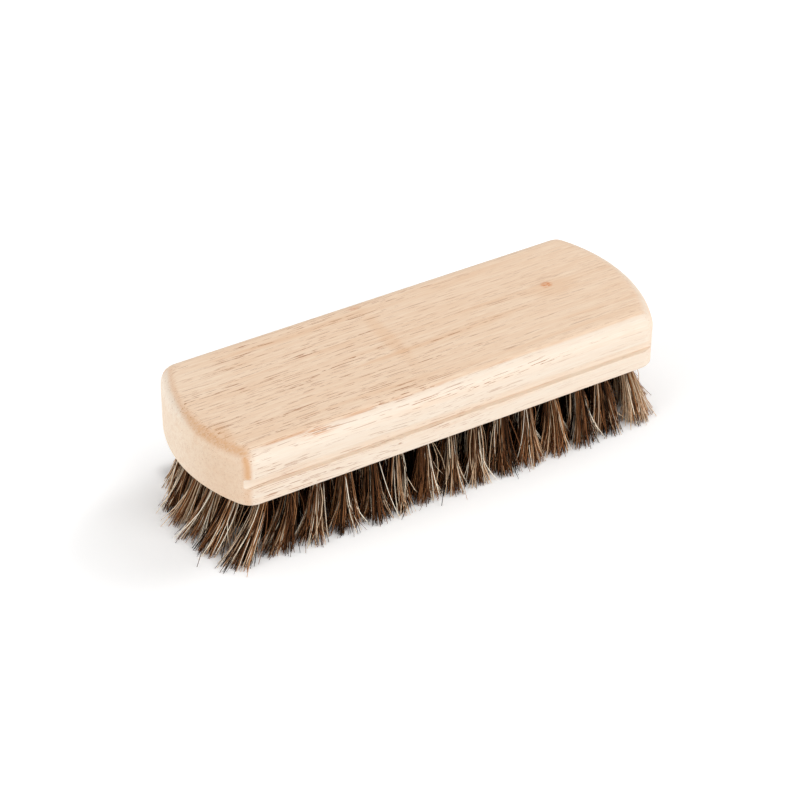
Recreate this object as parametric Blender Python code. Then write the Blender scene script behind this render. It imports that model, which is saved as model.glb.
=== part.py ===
"""Horsehair bristle brush: a wooden block, drilled from below and filled with tufts on wire anchors.

Units are metres and +Z is up. The origin lies at the middle of the brush, on the surface
that the bristle tips stand on. +X runs along the block and +Y across it. Heights in the
block are measured up from its underside, and depths of the bristles down from it.
"""

import math
import random

import bmesh
import bpy
from mathutils import Vector

# Wooden block
block_length = 0.165
block_width = 0.058
block_thickness = 0.0195
end_rise = 0.0085
corner_radius = 0.0063
top_rounding = 0.0055
bottom_rounding = 0.0007
corner_limit_share = 0.92

# Finger grooves, one along each long side
groove_centre = 0.0083
groove_height = 0.0036
groove_depth = 0.002
groove_fillet = 0.0008

# Drilled pattern: rows lie across the block, and each has its tufts side by side
row_count = 15
tufts_per_row = 7
side_inset = 0.005
end_inset = 0.0087
hole_diameter = 0.0046
hole_depth = 0.0125

# Slice of the backing that carries a row's tufts, let into a shallow pocket in the underside
slice_thickness = 0.0015
pocket_margin = 0.0005
weld_share = 0.45

# Bristles: how far the tips stand outside their hole mouths at the ends and the long sides
bristle_length = 0.021
strands_per_tuft = 4
end_lean = 0.008
side_lean = 0.004
end_lean_power = 5
side_lean_power = 2
straight_lean = 0.002
drilled_share = 0.6
ring_share = 0.62
strand_share = 0.38
tip_taper_share = 0.85
tip_spread_share = 0.32
tip_scatter_share = 0.03
turn_scatter_share = 0.08
knee_share = 0.5
trimmed_share = 0.7
tip_rise = 0.0008

# Flat wire anchors, one through the folds of each row
anchor_thickness = 0.0005
anchor_height = 0.0018
anchor_bite = 0.0006
fold_crown = 0.0008

# Fits and cuts
clearance = 0.0003
overrun = 0.001

# Facets
end_steps = 12
corner_steps = 4
top_steps = 4
bottom_steps = 2
groove_steps = 3
hole_sides = 6
strand_sides = 3
border_steps = 6
smooth_angle = math.radians(35)

# Sizes that follow from those above
underside = bristle_length
half_length = block_length / 2
half_width = block_width / 2
hole_radius = hole_diameter / 2
root_radius = hole_radius - clearance / math.cos(math.pi / hole_sides)
outer_tuft_y = half_width - side_inset
pocket_rim = side_inset - hole_radius - pocket_margin
pocket_depth = slice_thickness + clearance
weld = weld_share * slice_thickness
end_radius = (half_width ** 2 + end_rise ** 2) / (2 * end_rise)
end_centre_x = half_length - end_radius
anchor_top = hole_depth - 2 * clearance - fold_crown
anchor_middle = anchor_top - anchor_height / 2


def clear_scene():
    for item in list(bpy.data.objects):
        bpy.data.objects.remove(item)


def finish(name, colour, roughness, metallic):
    """A surface with one colour, as linear red, green and blue."""
    material = bpy.data.materials.new(name)
    material.use_nodes = True
    shader = material.node_tree.nodes["Principled BSDF"]
    shader.inputs["Base Color"].default_value = (*colour, 1)
    shader.inputs["Roughness"].default_value = roughness
    shader.inputs["Metallic"].default_value = metallic
    material.diffuse_color = (*colour, 1)
    return material


def loft(mesh, rings):
    """Adds one closed body to the mesh: rings of equally many points, joined and capped."""
    verts = [[mesh.verts.new(point) for point in ring] for ring in rings]
    for low, high in zip(verts, verts[1:]):
        for i in range(len(low)):
            mesh.faces.new((low[i - 1], low[i], high[i], high[i - 1]))
    mesh.faces.new(reversed(verts[0]))
    mesh.faces.new(verts[-1])


def add_object(name, bodies):
    """An object made of lofted bodies, each given as its list of rings."""
    mesh = bmesh.new()
    for rings in bodies:
        loft(mesh, rings)
    bmesh.ops.recalc_face_normals(mesh, faces=mesh.faces)
    data = bpy.data.meshes.new(name)
    mesh.to_mesh(data)
    mesh.free()
    made = bpy.data.objects.new(name, data)
    bpy.context.scene.collection.objects.link(made)
    return made


def add_helper(name, bodies):
    """Bodies that cut or join another object, and aren't a piece of the brush."""
    helper = add_object(name, bodies)
    helper.hide_render = True
    helper.display_type = "WIRE"
    return helper


def combine(made, operation, helper):
    step = made.modifiers.new(helper.name, "BOOLEAN")
    step.operation = operation
    step.solver = "EXACT"
    step.object = helper


def flat_ring(points, height):
    return [Vector((x, y, height)) for x, y in points]


def polygon(centre, radius, sides, turn=0.0):
    """A level ring of points round a centre."""
    angles = [turn + 2 * math.pi * i / sides for i in range(sides)]
    return [centre + radius * Vector((math.cos(a), math.sin(a), 0)) for a in angles]


def end_outline(inset, side):
    """One end of the block's plan: the shallow end arc between its two rounded corners.

    The points run anticlockwise, side is 1 for the +X end and -1 for the other, and
    inset moves the line in towards the middle of the block.
    """
    corner_y = half_width - corner_radius
    corner_x = end_centre_x + math.sqrt((end_radius - corner_radius) ** 2 - corner_y ** 2)
    half_angle = math.atan2(corner_y, corner_x - end_centre_x)
    corner_turn = math.pi / 2 - half_angle
    points = []
    for i in range(corner_steps):
        angle = -math.pi / 2 + corner_turn * i / corner_steps
        x = corner_x + (corner_radius - inset) * math.cos(angle)
        y = -corner_y + (corner_radius - inset) * math.sin(angle)
        points.append((x, y))
    for i in range(end_steps + 1):
        angle = half_angle * (2 * i / end_steps - 1)
        x = end_centre_x + (end_radius - inset) * math.cos(angle)
        y = (end_radius - inset) * math.sin(angle)
        points.append((x, y))
    for i in range(1, corner_steps + 1):
        angle = half_angle + corner_turn * i / corner_steps
        x = corner_x + (corner_radius - inset) * math.cos(angle)
        y = corner_y + (corner_radius - inset) * math.sin(angle)
        points.append((x, y))
    return [(side * x, side * y) for x, y in points]


def block_outline(inset):
    return end_outline(inset, 1) + end_outline(inset, -1)


def rounded_levels():
    """Height and inset of each ring up the block, round its bottom and top edges."""
    top_round = min(top_rounding, corner_limit_share * corner_radius)
    levels = []
    for i in range(bottom_steps + 1):
        angle = math.pi / 2 * i / bottom_steps
        height = bottom_rounding * (1 - math.cos(angle))
        levels.append((height, bottom_rounding * (1 - math.sin(angle))))
    for i in range(top_steps + 1):
        angle = math.pi / 2 * i / top_steps
        height = block_thickness - top_round * (1 - math.sin(angle))
        levels.append((height, top_round * (1 - math.cos(angle))))
    return levels


def row_end(y):
    """How far from the middle the last tuft at this place across the block stands."""
    return end_centre_x + math.sqrt((end_radius - end_inset) ** 2 - y ** 2)


def row_position(row):
    """Place of a row along the block, from -1 at one end row to 1 at the other."""
    middle = (row_count - 1) / 2
    return (row - middle) / middle


def tuft_y(place):
    middle = (tufts_per_row - 1) / 2
    return outer_tuft_y * (place - middle) / middle


def tuft_lean(row, place):
    """Level distance from a tuft's hole mouth to the middle of its tips."""
    along = row_position(row)
    across = tuft_y(place) / outer_tuft_y
    lean_x = math.copysign(end_lean * abs(along) ** end_lean_power, along)
    lean_y = math.copysign(side_lean * abs(across) ** side_lean_power, across)
    return Vector((lean_x, lean_y, 0))


def axis_point(row, place, depth):
    """The middle of a tuft at a depth below the underside, or in its hole where negative.

    The hole is drilled at part of the lean, and the free hair bends out by the rest.
    """
    y = tuft_y(place)
    mouth = Vector((row_position(row) * row_end(y), y, underside))
    share = depth / bristle_length
    bend = (1 - drilled_share) * max(share, 0) ** 2
    return mouth + tuft_lean(row, place) * (drilled_share * share + bend) - Vector((0, 0, depth))


def hole_rings(row, place, radius, low, high):
    """A round post along a tuft's axis, between two heights over the underside."""
    return [polygon(axis_point(row, place, -height), radius, hole_sides) for height in (low, high)]


def anchor_rings(row, swell):
    """The flat wire through a row's folds, set on edge, made larger all round by swell."""
    path = [axis_point(row, place, -anchor_middle) for place in range(tufts_per_row)]
    reach = hole_radius + anchor_bite + swell
    first = (path[0] - path[1]).normalized()
    last = (path[-1] - path[-2]).normalized()
    path[0] = path[0] + reach * first
    path[-1] = path[-1] + reach * last
    rise = Vector((0, 0, anchor_height / 2 + swell))
    rings = []
    for i, point in enumerate(path):
        along = path[min(i + 1, len(path) - 1)] - path[max(i - 1, 0)]
        aside = along.cross(rise).normalized() * (anchor_thickness / 2 + swell)
        rings.append([point - aside - rise, point + aside - rise, point + aside + rise, point - aside + rise])
    return rings


def border(position, shift):
    """Line between two rows' slices, as points from -Y to +Y."""
    reach = half_width - pocket_rim - clearance
    ys = [reach * (2 * i / border_steps - 1) for i in range(border_steps + 1)]
    return [(position * row_end(y) + shift, y) for y in ys]


def slice_rings(row):
    """The slice of the backing round one row, which ends at the pocket's wall in the end rows."""
    inset = pocket_rim + clearance
    if row == 0:
        left = end_outline(inset, -1)
    else:
        left = border(row_position(row - 0.5), clearance / 2)[::-1]
    if row == row_count - 1:
        right = end_outline(inset, 1)
    else:
        right = border(row_position(row + 0.5), -clearance / 2)
    heights = (underside, underside + slice_thickness)
    return [flat_ring(left + right, height) for height in heights]


def strand_tip(place, facing, chance):
    """Level distance of a strand's tip from its tuft's middle: the tips fill the pattern's cell."""
    row_pitch = 2 * row_end(tuft_y(place)) / (row_count - 1)
    place_pitch = 2 * outer_tuft_y / (tufts_per_row - 1)
    x = row_pitch * (tip_spread_share * facing.x + tip_scatter_share * chance.uniform(-1, 1))
    y = place_pitch * (tip_spread_share * facing.y + tip_scatter_share * chance.uniform(-1, 1))
    return Vector((x, y, 0))


def strand_rings(row, place, strand, chance):
    """One strand, from its tip on the floor, or trimmed just above it, up into the slice.

    The strands of a tuft stand in a ring and fan out evenly with depth, so none cross.
    """
    step = strand + chance.uniform(-turn_scatter_share, turn_scatter_share)
    turn = 2 * math.pi * (step + 1 / 2) / strands_per_tuft
    facing = Vector((math.cos(turn), math.sin(turn), 0))
    ring_radius = ring_share * root_radius
    tip = strand_tip(place, facing, chance)
    radius = strand_share * 2 * ring_radius * math.sin(math.pi / strands_per_tuft)
    rise = 0.0 if chance.random() < trimmed_share else tip_rise * chance.random()
    spin = chance.uniform(0, math.pi)
    depths = [bristle_length - rise, knee_share * bristle_length, -weld]
    if tuft_lean(row, place).length < straight_lean:
        del depths[1]
    rings = []
    for depth in depths:
        share = max(depth, 0) / bristle_length
        centre = axis_point(row, place, depth) + (ring_radius * facing).lerp(tip, share)
        rings.append(polygon(centre, radius * (1 - (1 - tip_taper_share) * share), strand_sides, spin))
    return rings


def add_block(wood):
    block = add_object("wood_block", [[flat_ring(block_outline(inset), underside + height)
                                       for height, inset in rounded_levels()]])
    pocket = [flat_ring(block_outline(pocket_rim), underside + height) for height in (-overrun, pocket_depth)]
    combine(block, "DIFFERENCE", add_helper("pocket_cutter", [pocket]))
    combine(block, "DIFFERENCE", add_helper("groove_cutters", [groove_rings(side) for side in (1, -1)]))
    places = [(row, place) for row in range(row_count) for place in range(tufts_per_row)]
    holes = [hole_rings(row, place, hole_radius, pocket_depth - overrun, hole_depth) for row, place in places]
    combine(block, "DIFFERENCE", add_helper("hole_cutters", holes))
    tunnels = [anchor_rings(row, clearance) for row in range(row_count)]
    combine(block, "DIFFERENCE", add_helper("anchor_tunnel_cutters", tunnels))
    block.data.materials.append(wood)
    return block


def groove_profile():
    """The groove's section, as distances out of the long side and heights over the underside."""
    fillet = min(groove_fillet, corner_limit_share * min(groove_depth, groove_height / 2))
    turns = [math.pi / 2 * i / groove_steps for i in range(groove_steps + 1)]
    inner = [(-fillet * math.sin(turn), fillet * math.cos(turn)) for turn in turns]
    out = fillet - groove_depth
    half = groove_height / 2 - fillet
    lower = [(out + x, groove_centre - half - z) for x, z in inner]
    upper = [(out + x, groove_centre + half + z) for x, z in reversed(inner)]
    low = (overrun, groove_centre - groove_height / 2)
    high = (overrun, groove_centre + groove_height / 2)
    return [low, *lower, *upper, high]


def groove_rings(side):
    """A bar along one long side, with the groove's section, which runs out past both ends."""
    reach = half_length + overrun
    return [[Vector((x, side * (half_width + out), underside + height)) for out, height in groove_profile()]
            for x in (-reach, reach)]


def add_tuft_row(row, horsehair):
    """A row of tufts: roots in the holes above the slice, and strands below it."""
    name = f"tuft_row_{row + 1:02d}"
    made = add_object(name, [slice_rings(row)])
    chance = random.Random(row)
    places = range(tufts_per_row)
    root_low = slice_thickness - weld
    roots = [hole_rings(row, place, root_radius, root_low, hole_depth - clearance) for place in places]
    combine(made, "UNION", add_helper(name + "_roots", roots))
    pairs = [(place, strand) for place in places for strand in range(strands_per_tuft)]
    strands = [strand_rings(row, place, strand, chance) for place, strand in pairs]
    combine(made, "UNION", add_helper(name + "_strands", strands))
    combine(made, "DIFFERENCE", add_helper(name + "_fold_cutter", [anchor_rings(row, clearance)]))
    made.data.materials.append(horsehair)
    return made


def add_anchor_wire(row, steel):
    wire = add_object(f"anchor_wire_{row + 1:02d}", [anchor_rings(row, 0.0)])
    wire.data.materials.append(steel)
    return wire


def smooth_cut_mesh(made):
    """Keeps the object's finished shape as its own mesh, smooth where its faces meet gently."""
    bpy.context.view_layer.update()
    finished = made.evaluated_get(bpy.context.evaluated_depsgraph_get())
    made.data = bpy.data.meshes.new_from_object(finished)
    made.modifiers.clear()
    made.data.shade_smooth()
    made.data.set_sharp_from_angle(angle=smooth_angle)


def build_brush():
    clear_scene()
    wood = finish("pale_wood", (0.78, 0.60, 0.42), 0.55, 0.0)
    horsehair = finish("horsehair", (0.10, 0.06, 0.035), 0.5, 0.0)
    steel = finish("anchor_steel", (0.55, 0.54, 0.52), 0.35, 1.0)
    smooth_cut_mesh(add_block(wood))
    for row in range(row_count):
        add_tuft_row(row, horsehair)
        add_anchor_wire(row, steel)


build_brush()
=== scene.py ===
import math

import bmesh
import bpy
import numpy as np
from mathutils import Euler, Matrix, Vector


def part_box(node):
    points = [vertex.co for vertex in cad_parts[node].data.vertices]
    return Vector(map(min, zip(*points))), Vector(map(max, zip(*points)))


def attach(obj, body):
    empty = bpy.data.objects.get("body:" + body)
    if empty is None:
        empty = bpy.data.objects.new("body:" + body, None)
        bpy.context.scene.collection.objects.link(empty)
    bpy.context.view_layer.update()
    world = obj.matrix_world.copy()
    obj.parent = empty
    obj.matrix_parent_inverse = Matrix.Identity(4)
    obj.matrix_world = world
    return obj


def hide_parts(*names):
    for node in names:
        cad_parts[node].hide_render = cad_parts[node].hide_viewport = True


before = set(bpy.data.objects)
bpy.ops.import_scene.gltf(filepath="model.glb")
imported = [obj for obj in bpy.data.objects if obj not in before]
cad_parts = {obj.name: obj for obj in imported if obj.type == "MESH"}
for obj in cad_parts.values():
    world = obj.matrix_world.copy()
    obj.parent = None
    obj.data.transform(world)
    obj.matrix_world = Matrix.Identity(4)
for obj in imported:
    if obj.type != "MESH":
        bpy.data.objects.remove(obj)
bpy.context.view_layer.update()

# Wooden block: one solid piece of pale rubberwood, which makes the back and holds the tufts.
# It is sawn to a plan with arched ends, its edges are rounded over, a finger groove is
# routed along each long side, 105 blind holes are drilled in its underside, and it is sanded.
block_low, block_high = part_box("wood_block")
underside = block_low.z
half_length = (block_high.x - block_low.x) / 2
half_width = (block_high.y - block_low.y) / 2
block_thickness = block_high.z - block_low.z
end_rise = 0.0085
end_radius = (half_width ** 2 + end_rise ** 2) / (2 * end_rise)
end_centre_x = half_length - end_radius
plan_corner_radius = 0.0063
top_rounding = 0.0055
bottom_rounding = 0.0007
groove_centre = 0.0083
groove_height = 0.0036
groove_depth = 0.002
groove_fillet = 0.0008
groove_lip = 0.00025
shading_margin = 0.0003
end_steps = 40
corner_steps = 16
top_steps = 14
bottom_steps = 4
groove_steps = 6

row_count = 15
tufts_per_row = 7
side_inset = 0.005
end_inset = 0.0087
outer_tuft_y = half_width - side_inset
hole_radius = 0.0023
hole_depth = 0.0125
hole_sides = 24
bristle_length = underside
drilled_share = 0.6
end_lean = 0.008
side_lean = 0.004
end_lean_power = 5
side_lean_power = 2
overrun = 0.001
weld_distance = 1e-7
sharp_angle = math.radians(40)


def end_plan(inset, side):
    """One end of the block's plan, anticlockwise: the shallow arch between its two rounded corners."""
    corner_y = half_width - plan_corner_radius
    corner_x = end_centre_x + math.sqrt((end_radius - plan_corner_radius) ** 2 - corner_y ** 2)
    half_angle = math.atan2(corner_y, corner_x - end_centre_x)
    corner_turn = math.pi / 2 - half_angle
    corner = plan_corner_radius - inset
    arch = end_radius - inset
    points = []
    for i in range(corner_steps):
        angle = -math.pi / 2 + corner_turn * i / corner_steps
        points.append((corner_x + corner * math.cos(angle), -corner_y + corner * math.sin(angle)))
    for i in range(end_steps + 1):
        angle = half_angle * (2 * i / end_steps - 1)
        points.append((end_centre_x + arch * math.cos(angle), arch * math.sin(angle)))
    for i in range(1, corner_steps + 1):
        angle = half_angle + corner_turn * i / corner_steps
        points.append((corner_x + corner * math.cos(angle), corner_y + corner * math.sin(angle)))
    return [(side * x, side * y) for x, y in points]


def plan_ring(height, inset, cut):
    """The block's outline at a height over its underside, with the groove's cut taken off both sides."""
    reach = half_width - cut
    points = end_plan(inset, 1) + end_plan(inset, -1)
    return [Vector((x, max(-reach, min(reach, y)), underside + height)) for x, y in points]


def quarter_turns(steps):
    return [math.pi / 2 * i / steps for i in range(steps + 1)]


def groove_levels():
    """Height and cut of each ring through the groove: eased lip, shelf, fillet, floor and back out."""
    low = groove_centre - groove_height / 2
    levels = [(low - groove_lip - shading_margin, 0.0)]
    for turn in quarter_turns(groove_steps // 2):
        levels.append((low - groove_lip * (1 - math.sin(turn)), groove_lip * (1 - math.cos(turn))))
    for turn in quarter_turns(groove_steps):
        cut = groove_depth - groove_fillet * (1 - math.sin(turn))
        levels.append((low + groove_fillet * (1 - math.cos(turn)), cut))
    return levels + [(2 * groove_centre - height, cut) for height, cut in reversed(levels)]


def block_levels():
    """Height, inset and groove cut of each ring up the block."""
    levels = [(0.0, bottom_rounding + shading_margin, 0.0)]
    for turn in quarter_turns(bottom_steps):
        height = bottom_rounding * (1 - math.cos(turn))
        levels.append((height, bottom_rounding * (1 - math.sin(turn)), 0.0))
    levels.append((bottom_rounding + shading_margin, 0.0, 0.0))
    levels += [(height, 0.0, cut) for height, cut in groove_levels()]
    levels.append((block_thickness - top_rounding - shading_margin, 0.0, 0.0))
    for turn in quarter_turns(top_steps):
        height = block_thickness - top_rounding * (1 - math.sin(turn))
        levels.append((height, top_rounding * (1 - math.cos(turn)), 0.0))
    levels.append((block_thickness, top_rounding + shading_margin, 0.0))
    return levels


def lofted_piece(name, bodies):
    """An object of closed bodies, each made of rings with equally many points, joined and capped."""
    mesh = bmesh.new()
    for rings in bodies:
        verts = [[mesh.verts.new(point) for point in ring] for ring in rings]
        for low, high in zip(verts, verts[1:]):
            for i in range(len(low)):
                mesh.faces.new((low[i - 1], low[i], high[i], high[i - 1]))
        mesh.faces.new(reversed(verts[0]))
        mesh.faces.new(verts[-1])
    bmesh.ops.remove_doubles(mesh, verts=mesh.verts, dist=weld_distance)
    bmesh.ops.recalc_face_normals(mesh, faces=mesh.faces)
    data = bpy.data.meshes.new(name)
    mesh.to_mesh(data)
    mesh.free()
    piece = bpy.data.objects.new(name, data)
    bpy.context.scene.collection.objects.link(piece)
    return piece


def row_position(row):
    """Place of a row along the block, from -1 at one end row to 1 at the other."""
    middle = (row_count - 1) / 2
    return (row - middle) / middle


def tuft_y(place):
    middle = (tufts_per_row - 1) / 2
    return outer_tuft_y * (place - middle) / middle


def hole_mouth(row, place):
    """The rows bow out with the block's arched ends, the more so the nearer they are to an end."""
    y = tuft_y(place)
    row_end = end_centre_x + math.sqrt((end_radius - end_inset) ** 2 - y ** 2)
    return Vector((row_position(row) * row_end, y, underside))


def tuft_lean(row, place):
    """Level distance from a tuft's hole mouth to the middle of its tips."""
    along = row_position(row)
    across = tuft_y(place) / outer_tuft_y
    lean_x = math.copysign(end_lean * abs(along) ** end_lean_power, along)
    lean_y = math.copysign(side_lean * abs(across) ** side_lean_power, across)
    return Vector((lean_x, lean_y, 0))


def hole_rings(row, place):
    """A round post along a drilled hole's axis, which leans in towards the block's middle as it rises."""
    rings = []
    for height in (-overrun, hole_depth):
        centre = hole_mouth(row, place) + Vector((0, 0, height))
        centre -= tuft_lean(row, place) * drilled_share * height / bristle_length
        angles = [2 * math.pi * i / hole_sides for i in range(hole_sides)]
        rings.append([centre + hole_radius * Vector((math.cos(a), math.sin(a), 0)) for a in angles])
    return rings


places = [(row, place) for row in range(row_count) for place in range(tufts_per_row)]
block = lofted_piece("sanded_wood_block", [[plan_ring(*level) for level in block_levels()]])
drill = lofted_piece("tuft_hole_drill", [hole_rings(row, place) for row, place in places])
drilling = block.modifiers.new("tuft holes", "BOOLEAN")
drilling.operation = "DIFFERENCE"
drilling.solver = "EXACT"
drilling.object = drill
bpy.context.view_layer.update()
drilled = block.evaluated_get(bpy.context.evaluated_depsgraph_get())
block.data = bpy.data.meshes.new_from_object(drilled)
block.modifiers.clear()
bpy.data.objects.remove(drill)
block.data.shade_smooth()
block.data.set_sharp_from_angle(angle=sharp_angle)


def hex_colour(code):
    """An sRGB hex colour as linear red, green, blue and alpha."""
    parts = [int(code[i:i + 2], 16) / 255 for i in (1, 3, 5)]
    linear = [part / 12.92 if part <= 0.04045 else ((part + 0.055) / 1.055) ** 2.4 for part in parts]
    return (*linear, 1.0)


def add_node(tree, kind, inputs=None, stops=None, **settings):
    """Adds a shader node. Inputs give a socket a value or another node's output, and stops fill a ramp."""
    node = tree.nodes.new(kind)
    for name, value in settings.items():
        setattr(node, name, value)
    for socket, value in (inputs or {}).items():
        if isinstance(value, bpy.types.NodeSocket):
            tree.links.new(value, node.inputs[socket])
        else:
            node.inputs[socket].default_value = value
    if stops:
        ramp = node.color_ramp
        while len(ramp.elements) < len(stops):
            ramp.elements.new(1.0)
        for element, (position, colour) in zip(ramp.elements, stops):
            element.position = position
            element.color = colour
    return node


# Rubberwood, planed and sanded, with no oil or lacquer: a pale cream, close-grained hardwood.
# The eye gets soft pinkish streaks, open pores as fine short brown dashes, a satin light along
# the sanded fibres, and a light tan scorch where the left end's edge was rounded over.
wood_ior = 1.5
wood_roughness = (0.5, 0.66)
noise_middle = 0.5

# A cell is given as its length along the grain and its width across it, and a pattern as its
# cell and the detail of its noise. Steps are the values of a noise, a facing or a place at which
# a finish starts and is full, and its strength at each where that isn't 0 and 1. A mark of this
# one board has a centre, half sizes and a strength, and is full in the core of these half sizes.
mark_core_share = 0.25
pore_full_share = 0.4


def along_grain(tree, vector, size):
    """Coordinates in which a pattern's cell has this length along the grain and width across it."""
    length, width = size
    scale = (1 / length, 1 / width, 1 / width)
    return add_node(tree, "ShaderNodeVectorMath", {0: vector, 1: scale}, operation="MULTIPLY").outputs[0]


def soft_step(tree, value, low, high, start=0.0, end=1.0):
    """A value's smooth rise from start to end as it goes from low to high."""
    inputs = {"Value": value, "From Min": low, "From Max": high, "To Min": start, "To Max": end}
    return add_node(tree, "ShaderNodeMapRange", inputs, interpolation_type="SMOOTHSTEP").outputs[0]


def overlap(tree, *shares):
    """How far several shares hold at once: their product."""
    result = shares[0]
    for share in shares[1:]:
        result = add_node(tree, "ShaderNodeMath", {0: result, 1: share}, operation="MULTIPLY").outputs[0]
    return result


def either(tree, *shares):
    """How far one or another of several shares holds: the largest."""
    result = shares[0]
    for share in shares[1:]:
        result = add_node(tree, "ShaderNodeMath", {0: result, 1: share}, operation="MAXIMUM").outputs[0]
    return result


def grain_noise(tree, vector, pattern):
    """Noise from 0 to 1, drawn out along the grain."""
    size, detail = pattern
    inputs = {"Vector": along_grain(tree, vector, size), "Scale": 1.0, "Detail": detail}
    return add_node(tree, "ShaderNodeTexNoise", inputs).outputs["Fac"]


def tint(tree, share, under, over, blend="MIX"):
    """One colour laid over another by a share."""
    inputs = {0: share, 6: under, 7: over}
    return add_node(tree, "ShaderNodeMix", inputs, data_type="RGBA", blend_type=blend).outputs[2]


def board_mark(tree, place, mark):
    """A soft round mark on the board, from its strength in its core to 0 at its half sizes."""
    centre, halves, strength = mark
    moved = add_node(tree, "ShaderNodeVectorMath", {0: place, 1: centre}, operation="SUBTRACT").outputs[0]
    scaled = {0: moved, 1: tuple(1 / half for half in halves)}
    unit = add_node(tree, "ShaderNodeVectorMath", scaled, operation="MULTIPLY").outputs[0]
    length = add_node(tree, "ShaderNodeVectorMath", {0: unit}, operation="LENGTH").outputs["Value"]
    return soft_step(tree, length, 1.0, mark_core_share, 0.0, strength)


def pore_layer(tree, flow, cell, radius_shares, shown_share):
    """Pores as long dots, at most one to a cell, of which a share shows, each in its own strength."""
    inputs = {"Vector": along_grain(tree, flow, cell), "Scale": 1.0, "Randomness": 1.0}
    cells = add_node(tree, "ShaderNodeTexVoronoi", inputs, feature="F1")
    small, large = radius_shares
    dash = soft_step(tree, cells.outputs["Distance"], large, small)
    luck = add_node(tree, "ShaderNodeSeparateColor", {0: cells.outputs["Color"]}).outputs[0]
    return overlap(tree, dash, soft_step(tree, luck, shown_share, pore_full_share * shown_share))


wood = bpy.data.materials.new("raw_rubberwood")
wood.use_nodes = True
tree = wood.node_tree
shader = tree.nodes["Principled BSDF"]
shader.inputs["IOR"].default_value = wood_ior
coordinates = add_node(tree, "ShaderNodeTexCoord")
place = coordinates.outputs["Object"]
spot = add_node(tree, "ShaderNodeSeparateXYZ", {0: place})
along, across, height = spot.outputs["X"], spot.outputs["Y"], spot.outputs["Z"]
facing = add_node(tree, "ShaderNodeSeparateXYZ", {0: coordinates.outputs["Normal"]})
end_facing = add_node(tree, "ShaderNodeMath", {0: facing.outputs["X"]}, operation="ABSOLUTE").outputs[0]
side_facing = add_node(tree, "ShaderNodeMath", {0: facing.outputs["Y"]}, operation="ABSOLUTE").outputs[0]
up_facing = facing.outputs["Z"]

# The grain wanders up to 1.6 mm either way from straight, and its patterns wander with it.
flow_size = (0.06, 0.022)
flow_detail = 2.0
flow_drift = 0.0016
drift_noise = add_node(tree, "ShaderNodeTexNoise", {
    "Vector": along_grain(tree, place, flow_size), "Scale": 1.0, "Detail": flow_detail})
drift = add_node(tree, "ShaderNodeVectorMath", {
    0: drift_noise.outputs["Color"], 1: (noise_middle,) * 3}, operation="SUBTRACT")
drift = add_node(tree, "ShaderNodeVectorMath", {
    0: drift.outputs[0], 1: (0.0, 2 * flow_drift, 2 * flow_drift)}, operation="MULTIPLY")
flow = add_node(tree, "ShaderNodeVectorMath", {0: place, 1: drift.outputs[0]}).outputs[0]

# Bare wood: the back, and paler long sides, whose pale tone is partly the side grain's own and partly
# painted light of the lit side. The end faces grow paler towards the far side, in painted light, up to a
# nearly white painted highlight on their crest. One patch of the back is pale too.
wood_back_colour = "#EDD4BA"
side_grain_and_painted_light_colour = "#E8DAC9"
wood_end_colour = "#E9CFB4"
pale_patch_and_far_light_colour = "#F3E0C9"
painted_highlight_colour = "#FFF6E8"
back_height = underside + block_thickness
side_facing_steps = (0.3, 0.48)
side_height_steps = (back_height - top_rounding, back_height - 1.3 * top_rounding)
side_end_steps = (0.1, 0.65)
end_facing_steps = (0.55, 0.9)
far_light_steps = (-0.021, 0.002)
highlight_end_steps = (0.6, 0.8)
highlight_up_steps = (0.05, 0.35)
highlight_across_steps = (-0.005, 0.016, 0.0, 0.5)
pale_patch = ((-0.071, 0.016, back_height), (0.022, 0.014, 0.004), 0.45)
side_share = either(tree, soft_step(tree, side_facing, *side_facing_steps),
                    soft_step(tree, height, *side_height_steps), soft_step(tree, end_facing, *side_end_steps))
end_share = soft_step(tree, end_facing, *end_facing_steps)
# The end faces grow paler towards the far side in painted light.
painted_far_light_share = soft_step(tree, across, *far_light_steps)
end_colour = tint(tree, painted_far_light_share, hex_colour(wood_end_colour), hex_colour(pale_patch_and_far_light_colour))
# The paler long sides are partly the side grain's own tone and partly painted light of the lit side.
colour = tint(tree, side_share, hex_colour(wood_back_colour), hex_colour(side_grain_and_painted_light_colour))
colour = tint(tree, board_mark(tree, place, pale_patch), colour, hex_colour(pale_patch_and_far_light_colour))
colour = tint(tree, end_share, colour, end_colour)
# A painted highlight along the rounded crest of the ends, strongest on their far side.
painted_highlight = overlap(tree, soft_step(tree, end_facing, *highlight_end_steps),
                soft_step(tree, up_facing, *highlight_up_steps), soft_step(tree, across, *highlight_across_steps))
colour = tint(tree, painted_highlight, colour, hex_colour(painted_highlight_colour))

# Streaks, grain and fibres, weaker on the sides, a darker band across the back, and the mottle of
# the end grain. Real fibres are about 0.03 mm thick, and are drawn nine times as coarse to show.
streak_colour = "#DDB087"
fibre_colour = "#CFA27C"
side_streak_share = 0.45
cloud_pattern = ((0.05, 0.018), 3.0)
streak_pattern = ((0.09, 0.0032), 4.0)
streak_steps = (0.48, 0.72)
streak_cloud_steps = (0.3, 0.65, 0.1, 0.5)
grain_pattern = ((0.025, 0.0009), 3.0)
grain_steps = (0.62, 0.38, 0.0, 0.2)
fibre_pattern = ((0.007, 0.00028), 2.0)
fibre_steps = (0.6, 0.42, 0.0, 0.22)
cross_band = ((-0.006, 0.004, back_height), (0.004, 0.024, 0.004), 0.32)
end_mottle_pattern = ((0.0012, 0.0012), 3.0)
end_mottle_steps = (0.45, 0.7, 0.0, 0.2)
plain_share = soft_step(tree, side_share, 0.0, 1.0, 1.0, side_streak_share)
cloud = grain_noise(tree, flow, cloud_pattern)
streak = grain_noise(tree, flow, streak_pattern)
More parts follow.
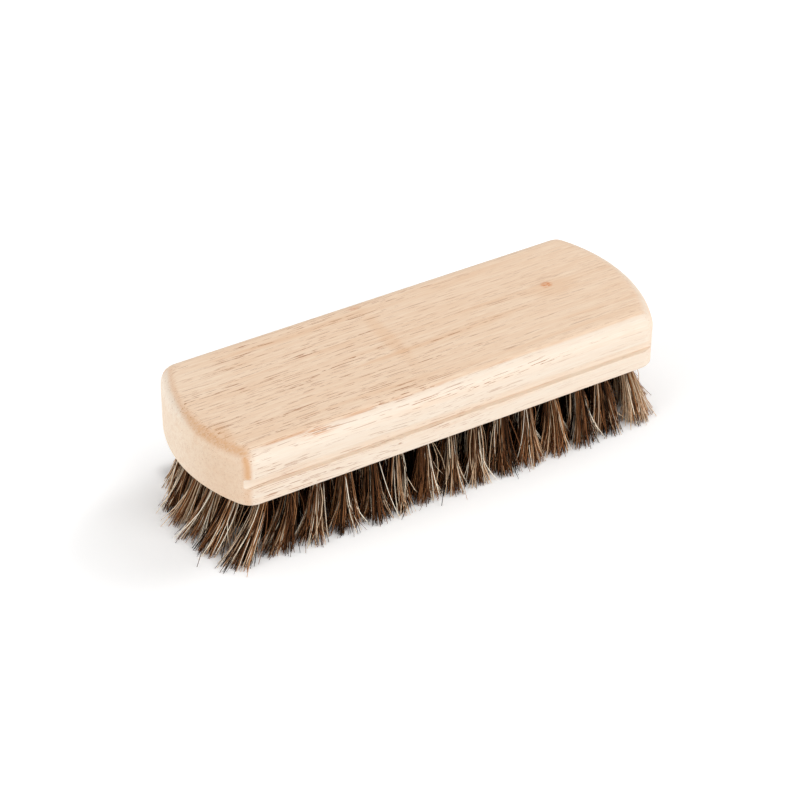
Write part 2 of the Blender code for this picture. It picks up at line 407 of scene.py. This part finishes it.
streak_share = overlap(tree, soft_step(tree, streak, *streak_steps),
                       soft_step(tree, cloud, *streak_cloud_steps), plain_share)
colour = tint(tree, streak_share, colour, hex_colour(streak_colour))
grain = grain_noise(tree, flow, grain_pattern)
grain_share = overlap(tree, soft_step(tree, grain, *grain_steps), plain_share)
colour = tint(tree, grain_share, colour, hex_colour(streak_colour))
fibre = grain_noise(tree, flow, fibre_pattern)
fibre_share = overlap(tree, soft_step(tree, fibre, *fibre_steps), plain_share)
colour = tint(tree, fibre_share, colour, hex_colour(fibre_colour))
colour = tint(tree, board_mark(tree, place, cross_band), colour, hex_colour(streak_colour))
mottle = soft_step(tree, grain_noise(tree, place, end_mottle_pattern), *end_mottle_steps)
colour = tint(tree, overlap(tree, mottle, end_share), colour, hex_colour(fibre_colour))

# Pores are about 0.15 mm wide and lie along the grain, so the saw has opened them as dashes of a
# few millimetres in loose chains, or joined as broken lines, and as dots on the end faces. They
# crowd in clouds, towards the left end, and at two marks on the back and the near edge.
pore_colour = "#96511F"
pore_line_colour = "#A06A45"
side_pore_colour = "#9C5E2A"
pore_cell = (0.01, 0.00029)
pore_radius_shares = (0.16, 0.25)
pore_shown_share = 0.6
pore_chain_pattern = ((0.05, 0.0011), 1.0)
pore_chain_steps = (0.47, 0.54)
pore_line_pattern = ((0.035, 0.00032), 1.0)
pore_line_steps = (0.605, 0.63)
pore_break_pattern = ((0.004, 0.0006), 2.0)
pore_break_steps = (0.44, 0.56)
pore_cloud_steps = (0.3, 0.65, 0.6, 1.0)
pore_along_steps = (0.045, -0.02, 0.5, 1.0)
side_pore_along_steps = (0.03, -0.05, 0.58, 0.68)
end_pore_line_share = 0.35
end_pore_cell = (0.0014, 0.0014)
end_pore_radius_shares = (0.05, 0.11)
end_pore_shown_share = 0.35
close_pores = (((0.0015, -0.012, back_height), (0.014, 0.009, 0.004), 0.95),
               ((0.012, -0.0285, back_height - 0.003), (0.065, 0.004, 0.0032), 0.95))
side_pore_share = soft_step(tree, along, *side_pore_along_steps)
crowd = overlap(tree, soft_step(tree, cloud, *pore_cloud_steps), soft_step(tree, along, *pore_along_steps),
                soft_step(tree, side_share, 1.0, 0.0, side_pore_share, 1.0))
crowd = either(tree, crowd, *(board_mark(tree, place, mark) for mark in close_pores))
pore_line = overlap(tree, soft_step(tree, grain_noise(tree, flow, pore_line_pattern), *pore_line_steps),
                    soft_step(tree, grain_noise(tree, flow, pore_break_pattern), *pore_break_steps), crowd)
pores = overlap(tree, pore_layer(tree, flow, pore_cell, pore_radius_shares, pore_shown_share),
                soft_step(tree, grain_noise(tree, flow, pore_chain_pattern), *pore_chain_steps), crowd)
away_from_end = soft_step(tree, end_share, 1.0, 0.0, end_pore_line_share, 1.0)
line_tone = tint(tree, side_share, hex_colour(pore_line_colour), hex_colour(side_pore_colour))
pore_tone = tint(tree, side_share, hex_colour(pore_colour), hex_colour(side_pore_colour))
colour = tint(tree, overlap(tree, pore_line, away_from_end), colour, line_tone)
colour = tint(tree, overlap(tree, pores, away_from_end), colour, pore_tone)
end_pores = pore_layer(tree, place, end_pore_cell, end_pore_radius_shares, end_pore_shown_share)
colour = tint(tree, overlap(tree, end_pores, end_share), colour, hex_colour(pore_line_colour))

# Darker streaks along the near rounded edge, in a strip of its slope and away from the ends,
# and fine lines at two marks near the left end.
edge_streak_colour = "#C8864F"
ridge_pattern = ((0.012, 0.004), 2.0)
ridge_steps = (0.4, 0.64, 0.0, 0.5)
ridge_top_steps = (0.98, 0.93)
ridge_low_steps = (0.86, 0.91)
ridge_near_steps = (-0.05, -0.2)
ridge_end_steps = (0.25, 0.05)
edge_streaks = (((-0.05, -0.0268, back_height - 0.0006), (0.012, 0.0021, 0.003), 0.7),
                ((-0.06, -0.028, underside + 0.0092), (0.009, 0.003, 0.0016), 0.7))
edge_line_pattern = ((0.009, 0.00036), 2.0)
edge_line_steps = (0.5, 0.58)
ridge = overlap(tree, soft_step(tree, up_facing, *ridge_top_steps),
                soft_step(tree, up_facing, *ridge_low_steps),
                soft_step(tree, facing.outputs["Y"], *ridge_near_steps),
                soft_step(tree, grain_noise(tree, flow, ridge_pattern), *ridge_steps),
                soft_step(tree, end_facing, *ridge_end_steps))
colour = tint(tree, ridge, colour, hex_colour(edge_streak_colour))
edge_lines = soft_step(tree, grain_noise(tree, flow, edge_line_pattern), *edge_line_steps)
for mark in edge_streaks:
    share = overlap(tree, board_mark(tree, flow, mark), edge_lines)
    colour = tint(tree, share, colour, hex_colour(edge_streak_colour))

# The knot on the back, with a darker halo, and a faint pin knot at its far edge.
knot_colour = "#CF7F45"
knots = (((0.0539, 0.0037, back_height), (0.0027, 0.0021, 0.01), 1.0),
         ((-0.0073, 0.0236, back_height), (0.0032, 0.0014, 0.004), 0.4))
knot_halo = ((0.0545, 0.0015, back_height), (0.013, 0.0065, 0.01), 0.3)
knot_grain_pattern = ((0.0016, 0.0009), 2.0)
knot_grain_steps = (0.38, 0.58, 0.25, 1.0)
colour = tint(tree, board_mark(tree, flow, knot_halo), colour, hex_colour(streak_colour))
knot_grain = soft_step(tree, grain_noise(tree, place, knot_grain_pattern), *knot_grain_steps)
for mark in knots:
    share = overlap(tree, board_mark(tree, place, mark), knot_grain)
    colour = tint(tree, share, colour, hex_colour(knot_colour))

# Scorch of the cutter: along the rim of the left end, in short strokes across it, down the end's
# near corner as far as the groove, and in one hot spot on the back. It fades towards the right.
scorch_colour = "#D1965A"
stroke_pattern = ((0.0026, 0.00055), 2.0)
stroke_steps = (0.38, 0.62, 0.75, 1.0)
rim_across_steps = (-0.011, 0.011)
rim_low_facings = (0.42, 0.75)
rim_high_facings = (0.78, 0.95)
rim_end_steps = (0.05, 0.5)
rim_heat_steps = (0.011, -0.011, 0.5, 0.72)
corner_strength = 0.8
corner_end_steps = (0.26, 0.55)
corner_past_steps = (0.86, 0.56)
corner_side_steps = (0.25, 0.6)
corner_up_steps = (0.95, 0.6)
corner_height_steps = (underside + 0.009, underside + 0.0115, 0.5, 0.95)
hot_spot = ((-0.0757, -0.0145, back_height), (0.0048, 0.0075, 0.004), 0.3)
scorch_along_steps = (0.02, -0.05, 0.1, 1.0)
strokes = soft_step(tree, grain_noise(tree, place, stroke_pattern), *stroke_steps)
rim_low = soft_step(tree, across, *rim_across_steps, *rim_low_facings)
rim_high = soft_step(tree, across, *rim_across_steps, *rim_high_facings)
rim = overlap(tree, soft_step(tree, end_facing, *rim_end_steps),
              soft_step(tree, up_facing, rim_low, rim_high), strokes,
              soft_step(tree, across, *rim_heat_steps))
corner = overlap(tree, soft_step(tree, end_facing, *corner_end_steps),
                 soft_step(tree, end_facing, *corner_past_steps),
                 soft_step(tree, side_facing, *corner_side_steps),
                 soft_step(tree, up_facing, *corner_up_steps),
                 soft_step(tree, height, *corner_height_steps), corner_strength)
scorch = either(tree, rim, corner, board_mark(tree, place, hot_spot))
scorch = overlap(tree, scorch, soft_step(tree, along, *scorch_along_steps))
colour = tint(tree, scorch, colour, hex_colour(scorch_colour))

# Sanded fibres stand a little proud, and pores lie a little low.
roughness_steps = (0.2, 0.8)
relief_depth = 0.00002
relief_strength = 0.35
roughness = soft_step(tree, fibre, *roughness_steps, *wood_roughness)
hollow = either(tree, pore_line, pores)
relief = add_node(tree, "ShaderNodeMath", {0: fibre, 1: hollow}, operation="SUBTRACT").outputs[0]
bump = add_node(tree, "ShaderNodeBump", {
    "Height": relief, "Distance": relief_depth, "Strength": relief_strength})
tree.links.new(colour, shader.inputs["Base Color"])
tree.links.new(roughness, shader.inputs["Roughness"])
tree.links.new(bump.outputs[0], shader.inputs["Normal"])

block.data.materials.clear()
block.data.materials.append(wood)
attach(block, "root")
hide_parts("wood_block")

# Wire anchors: a flat steel staple wire driven across each hole, over which the tuft is folded.
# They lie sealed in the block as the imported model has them, and only get their finish here.
wire_dark_colour = "#A9A8A4"
wire_light_colour = "#CCCBC6"
draw_line_size = (0.004, 0.00006)
wire_roughness_steps = (0.2, 0.8, 0.3, 0.45)

# Galvanised steel wire, drawn through a die: the eye gets a grey metal with fine lines along it.
# Real lines are about 0.02 mm wide, and are drawn three times as coarse.
steel = bpy.data.materials.new("drawn_galvanised_steel")
steel.use_nodes = True
tree = steel.node_tree
shader = tree.nodes["Principled BSDF"]
shader.inputs["Metallic"].default_value = 1.0
coordinates = add_node(tree, "ShaderNodeTexCoord")
draw_scale = (1 / draw_line_size[1], 1 / draw_line_size[0], 1 / draw_line_size[1])
lines = add_node(tree, "ShaderNodeVectorMath", {
    0: coordinates.outputs["Object"], 1: draw_scale}, operation="MULTIPLY").outputs[0]
draw_noise = add_node(tree, "ShaderNodeTexNoise", {"Vector": lines, "Scale": 1.0}).outputs["Fac"]
colour = tint(tree, draw_noise, hex_colour(wire_dark_colour), hex_colour(wire_light_colour))
tree.links.new(colour, shader.inputs["Base Color"])
roughness = soft_step(tree, draw_noise, *wire_roughness_steps)
tree.links.new(roughness, shader.inputs["Roughness"])
for row in range(row_count):
    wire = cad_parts[f"anchor_wire_{row + 1:02d}"]
    wire.material_slots[0].material = steel

# Tufts: bundles of horse tail hair, folded at the root in their holes and trimmed level below.
# They leave the holes tight, fan out until neighbours meet at the tips, and lean out at the block's
# ends and long sides. Tail hair is 0.1 to 0.2 mm thick and is drawn at 0.15 to 0.3 mm to show.
hairs_per_tuft = 280
locks_per_tuft = 12
hair_sides = 3
hair_root_depth = 0.003
hair_level_shares = (0.0, 0.16, 0.36, 0.58, 0.8, 1.0)
hair_root_radius = 0.00012
hair_tip_radius = 0.0001
hair_width_scatter_share = 0.25
bundle_radius = 0.0019
tip_spread_share = 0.62
tip_scatter = 0.001
lock_pull_share = 0.5
lock_stray_share = 0.2
hair_bend = 0.00035
lock_bend = 0.00045
stray_share = 0.06
stray_bend = 0.0018
stray_throw = 0.0024
stray_limit = 0.0045
tip_rise_usual = 0.0004
tip_rise_short = 0.0026
short_share = 0.3
fan_power = 2.5
lean_power = 1.4

# A hair's tone runs from 0, near black, to 1, ivory. Locks differ in tone, the end rows are paler,
# the last row most of all, and the inner tufts are darker, which paints the shade deep among the tufts.
# Ivory hairs are the thickest, and their tips lie off to one side.
lock_tone_share = 0.27
right_pale_share = 0.05
left_pale_share = 0.12
left_pale_power = 4
inner_painted_shade_share = 0.5
end_row_tones = (0.2, 0.8, 1.0)
end_row_stray_share = 0.02
ivory_tone = 0.93
ivory_width_share = 1.3
ivory_throw = 0.006
left_ivory_throw = -0.003
left_throw_rows = 3

# This brush's bristles have all been brushed a little towards the left end. They lean out more at
# that end's near corner, and hardly at its far one.
tip_end_lean = 0.0062
tip_end_lean_power = 4
tip_side_lean = 0.0045
tip_sweep = 0.0018
near_corner_lean = 0.0035
corner_share = 0.3
far_corner_share = 0.95

# Each hair has its own cell on the UV map, with its two end caps side by side under its wall.
cell_margin_share = 0.06
cap_share = 0.12
cap_low, cap_high, cap_width, cap_step = 0.02, 0.1, 0.3, 0.5


def tip_lean(row, place):
    """Level distance from a tuft's hole mouth to the middle of its hairs' tips."""
    along = row_position(row)
    across = tuft_y(place) / outer_tuft_y
    far_corner = max(across, 0) ** 2 if along < 0 else 0
    near_corner = max(-across, 0) if along < 0 else 0
    end_share = abs(along) ** tip_end_lean_power
    lean_x = math.copysign(tip_end_lean * end_share, along) * (1 - far_corner_share * far_corner)
    lean_x -= tip_sweep * (1 - far_corner) + near_corner_lean * near_corner * end_share
    lean_y = math.copysign(tip_side_lean * abs(across) ** side_lean_power, across)
    lean_y *= (1 - corner_share * end_share) * (1 - far_corner_share * far_corner * end_share)
    return Vector((lean_x, lean_y, 0))


def hair_bundle(row, place, chance):
    """Points of each hair of a tuft, as hairs by levels by three, with their radii and tones."""
    count = hairs_per_tuft
    mouth = np.array(hole_mouth(row, place))
    drilled = np.array(tuft_lean(row, place))[:2] * drilled_share
    free = np.array(tip_lean(row, place))[:2] - drilled
    row_pitch = 2 * abs(hole_mouth(row_count - 1, place).x) / (row_count - 1)
    place_pitch = 2 * outer_tuft_y / (tufts_per_row - 1)
    turn = chance.uniform(0, 2 * math.pi, count)
    facing = np.stack([np.cos(turn), np.sin(turn)], 1) * np.sqrt(chance.uniform(0, 1, count))[:, None]
    root = bundle_radius * facing
    lock_turn = chance.uniform(0, 2 * math.pi, locks_per_tuft)
    lock_reach = np.sqrt(chance.uniform(0, 1, locks_per_tuft))
    lock_facing = np.stack([np.cos(lock_turn), np.sin(lock_turn)], 1) * lock_reach[:, None]
    nearest = np.argmin(np.linalg.norm(facing[:, None] - lock_facing[None], axis=2), axis=1)
    wandered = chance.uniform(0, 1, count) < lock_stray_share
    lock = np.where(wandered, chance.integers(0, locks_per_tuft, count), nearest)
    aim = (1 - lock_pull_share) * facing + lock_pull_share * lock_facing[lock]
    tip = aim * np.array([row_pitch, place_pitch]) * tip_spread_share
    tip += chance.normal(0, tip_scatter, (count, 2))
    last_row = row == row_count - 1
    stray = chance.uniform(0, 1, count) < (end_row_stray_share if last_row else stray_share)
    throw = np.clip(chance.normal(0, stray_throw, (count, 2)), -stray_limit, stray_limit)
    tip += throw * stray[:, None]
    bend = chance.normal(0, hair_bend, (count, 2)) + chance.normal(0, lock_bend, (locks_per_tuft, 2))[lock]
    bend += chance.normal(0, stray_bend, (count, 2)) * stray[:, None]
    short = chance.uniform(0, 1, count) < short_share
    rise = chance.uniform(0, 1, count) * np.where(short, tip_rise_short, tip_rise_usual)
    lock_tone = chance.uniform(-1, 1, locks_per_tuft)[lock] * lock_tone_share
    tone = chance.uniform(0, 1, count)
    if last_row:
        tone = np.interp(tone, (0, 0.5, 1), end_row_tones)
    along = row_position(row)
    lock_tone += right_pale_share * max(along, 0) + left_pale_share * max(-along, 0) ** left_pale_power
    tone = np.where(tone < ivory_tone, np.clip(tone + lock_tone, 0, ivory_tone), tone)
    # Painted shade: the inner tufts' hairs are darkened, as the shade deep in the bed of bristles.
    if 0 < place < tufts_per_row - 1 and 0 < row < row_count - 1:
        tone = np.where(tone < ivory_tone, tone * inner_painted_shade_share, tone)
    if not last_row:
        throw_x = left_ivory_throw if row < left_throw_rows else ivory_throw
        tip[:, 0] += throw_x * chance.uniform(0, 1, count) ** 2 * (tone > ivory_tone)
    width = 1 + hair_width_scatter_share * chance.uniform(-1, 1, count)
    width *= np.where(tone > ivory_tone, ivory_width_share, 1)
    depths = [np.full(count, -hair_root_depth)]
    depths += [share * (bristle_length - rise) for share in hair_level_shares]
    points = []
    radii = []
    for depth in depths:
        share = np.maximum(depth, 0) / bristle_length
        level = mouth[:2] + drilled * (depth / bristle_length)[:, None]
        level = level + free * (share ** lean_power)[:, None]
        level = level + root + (tip - root) * (share ** fan_power)[:, None]
        level = level + bend * (4 * share * (1 - share))[:, None]
        points.append(np.column_stack([level, mouth[2] - depth]))
        radii.append(width * (hair_root_radius + (hair_tip_radius - hair_root_radius) * share))
    return np.stack(points, 1), np.stack(radii, 1), tone


def hair_row(row):
    """One row's hairs as a mesh of closed three-sided tubes, each with its own cell on the map."""
    chance = np.random.default_rng(row)
    bundles = [hair_bundle(row, place, chance) for place in range(tufts_per_row)]
    points = np.concatenate([bundle[0] for bundle in bundles])
    radii = np.concatenate([bundle[1] for bundle in bundles])
    tones = np.concatenate([bundle[2] for bundle in bundles])
    hairs, levels = radii.shape
    spin = chance.uniform(0, 2 * math.pi, hairs)
    turns = spin[:, None] - 2 * math.pi * np.arange(hair_sides) / hair_sides
    rim = np.stack([np.cos(turns), np.sin(turns), np.zeros_like(turns)], 2)
    verts = points[:, :, None, :] + radii[:, :, None, None] * rim[:, None, :, :]
    sides = np.arange(hair_sides)
    steps = np.arange(levels - 1)
    low = steps[:, None] * hair_sides + sides[None]
    low_next = steps[:, None] * hair_sides + (sides[None] + 1) % hair_sides
    quads = np.stack([low, low_next, low_next + hair_sides, low + hair_sides], 2).reshape(-1, 4)
    root_cap = sides[::-1]
    tip_cap = (levels - 1) * hair_sides + sides
    starts = np.arange(hairs) * levels * hair_sides
    corner_steps_around = np.stack([sides, sides + 1, sides + 1, sides], 1) / hair_sides
    around = np.broadcast_to(corner_steps_around[None], (levels - 1, hair_sides, 4))
    along = np.stack([steps, steps, steps + 1, steps + 1], 1) / (levels - 1)
    along = np.broadcast_to(along[:, None, :], (levels - 1, hair_sides, 4))
    wall = 1 - 2 * cell_margin_share
    quad_map = np.stack([cell_margin_share + wall * around,
                         cap_share + (1 - cap_share - cell_margin_share) * along], 3).reshape(-1, 2)
    cap_middle = cell_margin_share + cap_width / 2
    cap_corners = np.array([(cell_margin_share, cap_low), (cell_margin_share + cap_width, cap_low),
                            (cap_middle, cap_high)])
    hair_map = np.concatenate([quad_map, cap_corners, cap_corners + (cap_step, 0.0)])
    hair_corners = np.concatenate([quads.ravel(), root_cap, tip_cap])
    face_sizes = np.concatenate([np.full(len(quads), 4), [hair_sides, hair_sides]])
    cells = math.ceil(math.sqrt(hairs))
    cell = np.stack([np.arange(hairs) % cells, np.arange(hairs) // cells], 1)
    uv = ((cell[:, None, :] + hair_map[None]) / cells).reshape(-1, 2)
    corners = (starts[:, None] + hair_corners[None]).ravel()
    sizes = np.tile(face_sizes, hairs)
    data = bpy.data.meshes.new(f"horsehair_row_{row + 1:02d}")
    data.vertices.add(verts.size // 3)
    data.vertices.foreach_set("co", verts.ravel())
    data.loops.add(len(corners))
    data.loops.foreach_set("vertex_index", corners.astype(np.int32))
    data.polygons.add(len(sizes))
    data.polygons.foreach_set("loop_start", (np.cumsum(sizes) - sizes).astype(np.int32))
    data.update(calc_edges=True)
    data.uv_layers.new(name="OFBake").data.foreach_set("uv", uv.ravel())
    tone = data.attributes.new("hair_tone", "FLOAT", "POINT")
    tone.data.foreach_set("value", np.repeat(tones, levels * hair_sides))
    reach = np.tile(np.repeat(np.arange(levels) / (levels - 1), hair_sides), hairs)
    data.attributes.new("hair_reach", "FLOAT", "POINT").data.foreach_set("value", reach)
    data.shade_smooth()
    data.validate()
    piece = bpy.data.objects.new(data.name, data)
    bpy.context.scene.collection.objects.link(piece)
    return piece


# Horsehair, washed and undyed, from mixed tails: mostly dark and mid brown, some chestnut and
# tan, and a few ivory hairs. Each hair is a smooth round fibre with a dull keratin gloss.
hair_mix = (
    (0.0, "#0A0401"), (0.22, "#251408"), (0.42, "#50311C"), (0.6, "#7B4F31"), (0.75, "#9E6C44"),
    (0.86, "#BB8F69"), (0.93, "#CFB292"), (0.95, "#E4D4BC"), (1.0, "#F2E8D6"))
hair_ior = 1.55
hair_roughness = 0.5
hair_gloss_level = 0.05
# Each hair is a little darker at its root, which paints the shade among the roots, and paler at its tip,
# which paints the light that gets between the tips.
hair_root_shade_tip_light_steps = (0.1, 1.0, 0.88, 1.36)


def shaded(tree, colour, strength):
    """A colour made darker or lighter by a strength about 1."""
    grey = add_node(tree, "ShaderNodeCombineColor", {0: strength, 1: strength, 2: strength}).outputs[0]
    return tint(tree, 1.0, colour, grey, "MULTIPLY")


horsehair = bpy.data.materials.new("mixed_horsehair")
horsehair.use_nodes = True
tree = horsehair.node_tree
shader = tree.nodes["Principled BSDF"]
shader.inputs["IOR"].default_value = hair_ior
shader.inputs["Roughness"].default_value = hair_roughness
shader.inputs["Specular IOR Level"].default_value = hair_gloss_level
tone = add_node(tree, "ShaderNodeAttribute", attribute_name="hair_tone").outputs["Fac"]
reach = add_node(tree, "ShaderNodeAttribute", attribute_name="hair_reach").outputs["Fac"]
mix_stops = [(position, hex_colour(code)) for position, code in hair_mix]
mixed = add_node(tree, "ShaderNodeValToRGB", {"Fac": tone}, mix_stops).outputs["Color"]
colour = shaded(tree, mixed, soft_step(tree, reach, *hair_root_shade_tip_light_steps))
tree.links.new(colour, shader.inputs["Base Color"])

for row in range(row_count):
    tufts = hair_row(row)
    tufts.data.materials.append(horsehair)
    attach(tufts, "root")
    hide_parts(f"tuft_row_{row + 1:02d}")

# Floor: a plain white sweep that shows white to the eye, with the brush's soft shadow, partly cast and partly
# painted.
# It is open from below, so that the bristles can be looked at from under it.
floor_half = 2.0
floor_drop = 0.0001
floor_colour = "#F6F6F6"
floor_glow = 0.17
# More glow on the far side paints light over the brush's cast shadow there.
far_floor_painted_light = 0.16
far_floor_painted_light_steps = (0.0, 0.045)
# The glow leaves out the floor under the brush, which paints shade there, and is weaker in a painted shadow
# at the left end.
shade_half_sizes = (0.075, 0.025, 1.0)
shade_reach = 0.006
left_shade = ((-0.1, -0.003, 0.0), (0.038, 0.039, 1.0), 1.0)
left_shade_share = 0.55


def seen_directly(tree):
    """1 where the eye looks straight, through glass or by a reflection, and 0 for light itself."""
    path = add_node(tree, "ShaderNodeLightPath")
    rays = ("Is Camera Ray", "Is Glossy Ray", "Is Transmission Ray")
    return either(tree, *(path.outputs[ray] for ray in rays))


data = bpy.data.meshes.new("white_floor")
corners = [(-1, -1), (1, -1), (1, 1), (-1, 1)]
data.from_pydata([(floor_half * x, floor_half * y, -floor_drop) for x, y in corners], [], [(0, 1, 2, 3)])
floor = bpy.data.objects.new("white_floor", data)
bpy.context.scene.collection.objects.link(floor)
white = bpy.data.materials.new("white_paper_floor")
white.use_nodes = True
tree = white.node_tree
tree.nodes.clear()
matte = add_node(tree, "ShaderNodeBsdfDiffuse", {"Color": hex_colour(floor_colour)}).outputs[0]
place = add_node(tree, "ShaderNodeTexCoord").outputs["Object"]
offset = add_node(tree, "ShaderNodeVectorMath", {0: place}, operation="ABSOLUTE").outputs[0]
offset = add_node(tree, "ShaderNodeVectorMath", {
    0: offset, 1: shade_half_sizes}, operation="SUBTRACT").outputs[0]
offset = add_node(tree, "ShaderNodeVectorMath", {
    0: offset, 1: (0.0, 0.0, 0.0)}, operation="MAXIMUM").outputs[0]
distance = add_node(tree, "ShaderNodeVectorMath", {0: offset}, operation="LENGTH").outputs["Value"]
far_side = add_node(tree, "ShaderNodeSeparateXYZ", {0: place}).outputs["Y"]
glow_level = soft_step(tree, far_side, *far_floor_painted_light_steps, floor_glow, floor_glow + far_floor_painted_light)
left_glow = soft_step(tree, board_mark(tree, place, left_shade), 0.0, 1.0, 1.0, 1.0 - left_shade_share)
glow_strength = overlap(tree, glow_level, soft_step(tree, distance, 0.0, shade_reach), left_glow,
                        seen_directly(tree))
glow = add_node(tree, "ShaderNodeEmission", {"Strength": glow_strength}).outputs[0]
top = add_node(tree, "ShaderNodeAddShader", {0: matte, 1: glow}).outputs[0]
clear = add_node(tree, "ShaderNodeBsdfTransparent").outputs[0]
behind = add_node(tree, "ShaderNodeNewGeometry").outputs["Backfacing"]
surface = add_node(tree, "ShaderNodeMixShader", {0: behind, 1: top, 2: clear}).outputs[0]
add_node(tree, "ShaderNodeOutputMaterial", {"Surface": surface})
data.materials.append(white)

# Light: soft daylight all round and large soft lamps, a strong one from the front and weaker
# ones from the left, the right and the back. The surroundings show white to the eye.
sky_colour = "#FFFFFF"
sky_strength = 0.46
# Each lamp as its name, its place and width in metres, and its power in watts.
lamps = (("soft_key", (0.45, -1.35, 0.72), 1.2, 15.2), ("soft_right", (0.98, 0.0, 1.05), 1.0, 4.4),
         ("soft_left", (-1.4, -0.05, 0.7), 1.2, 8.1), ("soft_back", (-0.4, 1.35, 0.5), 1.2, 4.2))

world = bpy.data.worlds.new("white_studio")
bpy.context.scene.world = world
world.use_nodes = True
tree = world.node_tree
tree.nodes.clear()
strength = add_node(tree, "ShaderNodeMapRange", {
    "Value": seen_directly(tree), "To Min": sky_strength, "To Max": 1.0}).outputs[0]
sky = add_node(tree, "ShaderNodeBackground", {
    "Color": hex_colour(sky_colour), "Strength": strength}).outputs[0]
add_node(tree, "ShaderNodeOutputWorld", {"Surface": sky})

for name, lamp_place, size, power in lamps:
    lamp = bpy.data.lights.new(name, "AREA")
    lamp.shape = "DISK"
    lamp.size = size
    lamp.energy = power
    holder = bpy.data.objects.new(name, lamp)
    holder.location = lamp_place
    holder.rotation_euler = (-Vector(lamp_place)).to_track_quat("-Z", "Y").to_euler()
    bpy.context.scene.collection.objects.link(holder)

# Camera: the photograph's own view, from the front left and above, through a long lens. Its
# place, turn and lens were fitted to the block's outline.
camera_azimuth = math.radians(-30.94)
camera_elevation = math.radians(36.2)
camera_roll = math.radians(0.337)
camera_distance = 0.9169
camera_aim = Vector((-0.006378, -0.00443, underside + 0.000329))
camera_lens = 129.1
camera_sensor = 36.0

lens = bpy.data.cameras.new("photo_view")
lens.lens = camera_lens
lens.sensor_width = camera_sensor
camera = bpy.data.objects.new("photo_view", lens)
back = Vector((math.sin(camera_azimuth) * math.cos(camera_elevation),
               -math.cos(camera_azimuth) * math.cos(camera_elevation), math.sin(camera_elevation)))
camera.location = camera_aim + camera_distance * back
upright = Euler((math.pi / 2 - camera_elevation, 0, camera_azimuth)).to_quaternion()
roll = Euler((0, 0, camera_roll)).to_quaternion()
camera.rotation_euler = (upright @ roll).to_euler()
bpy.context.scene.collection.objects.link(camera)
bpy.context.scene.camera = camera
bpy.context.scene.view_settings.view_transform = "Standard"

bpy.context.view_layer.update()
